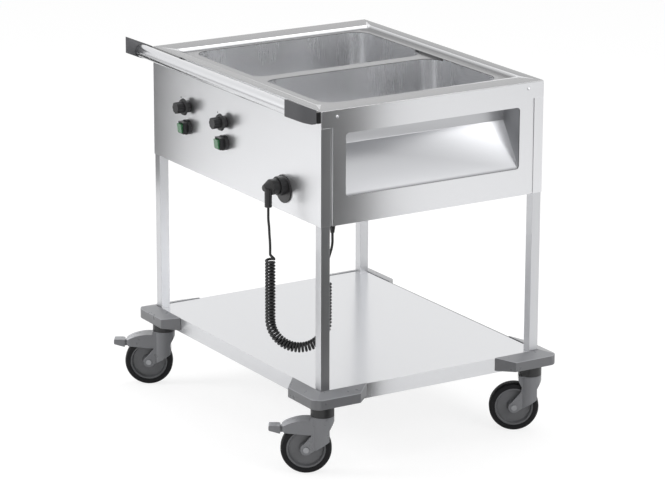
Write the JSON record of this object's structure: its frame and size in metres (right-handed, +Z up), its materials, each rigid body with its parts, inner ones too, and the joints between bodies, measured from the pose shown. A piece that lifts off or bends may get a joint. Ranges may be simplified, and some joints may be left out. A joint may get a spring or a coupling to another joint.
{
  "type": "hostess trolley",
  "caption": "Stainless hot food trolley with two open wells, a push bar, a lower shelf, a curly mains lead, corner bumpers and swivel casters.",
  "frame": {"origin": "on the floor, under the middle of the whole trolley with its bumpers, handle and casters", "axes": "+Z up, +X along the push bar to the end with the side recess, -Y towards the operator at the push bar"},
  "size_m": [0.9302, 0.7813, 0.944],
  "materials": {
    "satin_steel": "ground stainless steel sheet, satin",
    "deck_steel": "ground stainless steel sheet, satin",
    "well_steel": "deep drawn stainless steel, satin",
    "leg_steel": "ground square stainless tube",
    "bright_steel": "polished stainless steel",
    "grey_plastic": "moulded grey plastic, fine grain",
    "caster_grey": "moulded grey polyamide",
    "rim_grey": "moulded grey polyamide rim",
    "tyre_rubber": "dark grey rubber",
    "black_plastic": "moulded black plastic",
    "cord_rubber": "black rubber jacket",
    "green_lens": "translucent green rocker with a lamp behind it",
    "heater_metal": "sheathed heating element",
    "inner_plastic": "moulded inner parts"
  },
  "bodies": {
    "frame": {"leg_front_left": "leg_steel", "leg_front_right": "leg_steel", "leg_rear_left": "leg_steel", "leg_rear_right": "leg_steel", "top_deck": "deck_steel", "well_left": "well_steel", "well_right": "well_steel", "well_divider": "deck_steel", "heating_elements": "heater_metal", "front_panel": "satin_steel", "rear_panel": "satin_steel", "left_panel": "satin_steel", "right_panel": "satin_steel", "side_recess": "satin_steel", "casing_floor": "satin_steel", "panel_screws": "bright_steel", "handle_tube": "bright_steel", "handle_bracket_left": "grey_plastic", "handle_bracket_right": "grey_plastic", "bracket_strips": "black_plastic", "lower_shelf": "deck_steel", "bumper_front_left": "grey_plastic", "bumper_front_right": "grey_plastic", "bumper_rear_left": "grey_plastic", "bumper_rear_right": "grey_plastic", "regulator_left": "inner_plastic", "regulator_right": "inner_plastic", "switch_housing_left": "black_plastic", "switch_housing_right": "black_plastic", "parking_socket": "black_plastic", "mains_plug": "black_plastic", "cord_upper": "cord_rubber", "cord_curl": "cord_rubber", "cord_lower": "cord_rubber", "cable_gland": "black_plastic", "terminal_block": "inner_plastic", "caster_stems": "caster_grey"},
    "swivel_front_left": {"fork_front_left": "caster_grey", "axle_front_left": "bright_steel"},
    "roller_front_left": {"wheel_front_left": "rim_grey", "tyre_front_left": "tyre_rubber"},
    "swivel_front_right": {"fork_front_right": "caster_grey", "axle_front_right": "bright_steel"},
    "roller_front_right": {"wheel_front_right": "rim_grey", "tyre_front_right": "tyre_rubber"},
    "swivel_rear_left": {"fork_rear_left": "caster_grey", "axle_rear_left": "bright_steel"},
    "roller_rear_left": {"wheel_rear_left": "rim_grey", "tyre_rear_left": "tyre_rubber"},
    "swivel_rear_right": {"fork_rear_right": "caster_grey", "axle_rear_right": "bright_steel"},
    "roller_rear_right": {"wheel_rear_right": "rim_grey", "tyre_rear_right": "tyre_rubber"},
    "brake_left": {"brake_pedal_left": "caster_grey"},
    "brake_right": {"brake_pedal_right": "caster_grey"},
    "knob_left": {"knob_left": "black_plastic"},
    "rocker_left": {"rocker_left": "green_lens"},
    "knob_right": {"knob_right": "black_plastic"},
    "rocker_right": {"rocker_right": "green_lens"}
  },
  "joints": [
    {"name": "swivel_front_left", "type": "hinge", "parent": "frame", "child": "swivel_front_left", "pos_m": [-0.384, -0.272, 0.145], "axis": [0, 0, 1], "continuous": true},
    {"name": "roll_front_left", "type": "hinge", "parent": "swivel_front_left", "child": "roller_front_left", "pos_m": [-0.40493, -0.3055, 0.0625], "axis": [0.848, -0.5299, 0], "continuous": true},
    {"name": "swivel_front_right", "type": "hinge", "parent": "frame", "child": "swivel_front_right", "pos_m": [0.414, -0.272, 0.145], "axis": [0, 0, 1], "continuous": true},
    {"name": "roll_front_right", "type": "hinge", "parent": "swivel_front_right", "child": "roller_front_right", "pos_m": [0.39307, -0.3055, 0.0625], "axis": [0.848, -0.5299, 0], "continuous": true},
    {"name": "swivel_rear_left", "type": "hinge", "parent": "frame", "child": "swivel_rear_left", "pos_m": [-0.384, 0.34, 0.145], "axis": [0, 0, 1], "continuous": true},
    {"name": "roll_rear_left", "type": "hinge", "parent": "swivel_rear_left", "child": "roller_rear_left", "pos_m": [-0.40493, 0.3065, 0.0625], "axis": [0.848, -0.5299, 0], "continuous": true},
    {"name": "swivel_rear_right", "type": "hinge", "parent": "frame", "child": "swivel_rear_right", "pos_m": [0.414, 0.34, 0.145], "axis": [0, 0, 1], "continuous": true},
    {"name": "roll_rear_right", "type": "hinge", "parent": "swivel_rear_right", "child": "roller_rear_right", "pos_m": [0.39307, 0.3065, 0.0625], "axis": [0.848, -0.5299, 0], "continuous": true},
    {"name": "brake_left", "type": "hinge", "parent": "swivel_front_left", "child": "brake_left", "pos_m": [-0.41897, -0.32797, 0.1275], "axis": [0.848, -0.5299, 0], "range_deg": [0, 5.5]},
    {"name": "brake_right", "type": "hinge", "parent": "swivel_front_right", "child": "brake_right", "pos_m": [0.37903, -0.32797, 0.1275], "axis": [0.848, -0.5299, 0], "range_deg": [0, 5.5]},
    {"name": "knob_left", "type": "hinge", "parent": "frame", "child": "knob_left", "pos_m": [-0.215, -0.286, 0.785], "axis": [0, 1, 0], "range_deg": [0, 270]},
    {"name": "rocker_left", "type": "hinge", "parent": "frame", "child": "rocker_left", "pos_m": [-0.215, -0.3035, 0.732], "axis": [-1, 0, 0], "range_deg": [0, 14]},
    {"name": "knob_right", "type": "hinge", "parent": "frame", "child": "knob_right", "pos_m": [-0.028, -0.286, 0.785], "axis": [0, 1, 0], "range_deg": [0, 270]},
    {"name": "rocker_right", "type": "hinge", "parent": "frame", "child": "rocker_right", "pos_m": [-0.028, -0.3035, 0.732], "axis": [-1, 0, 0], "range_deg": [0, 14]}
  ]
}
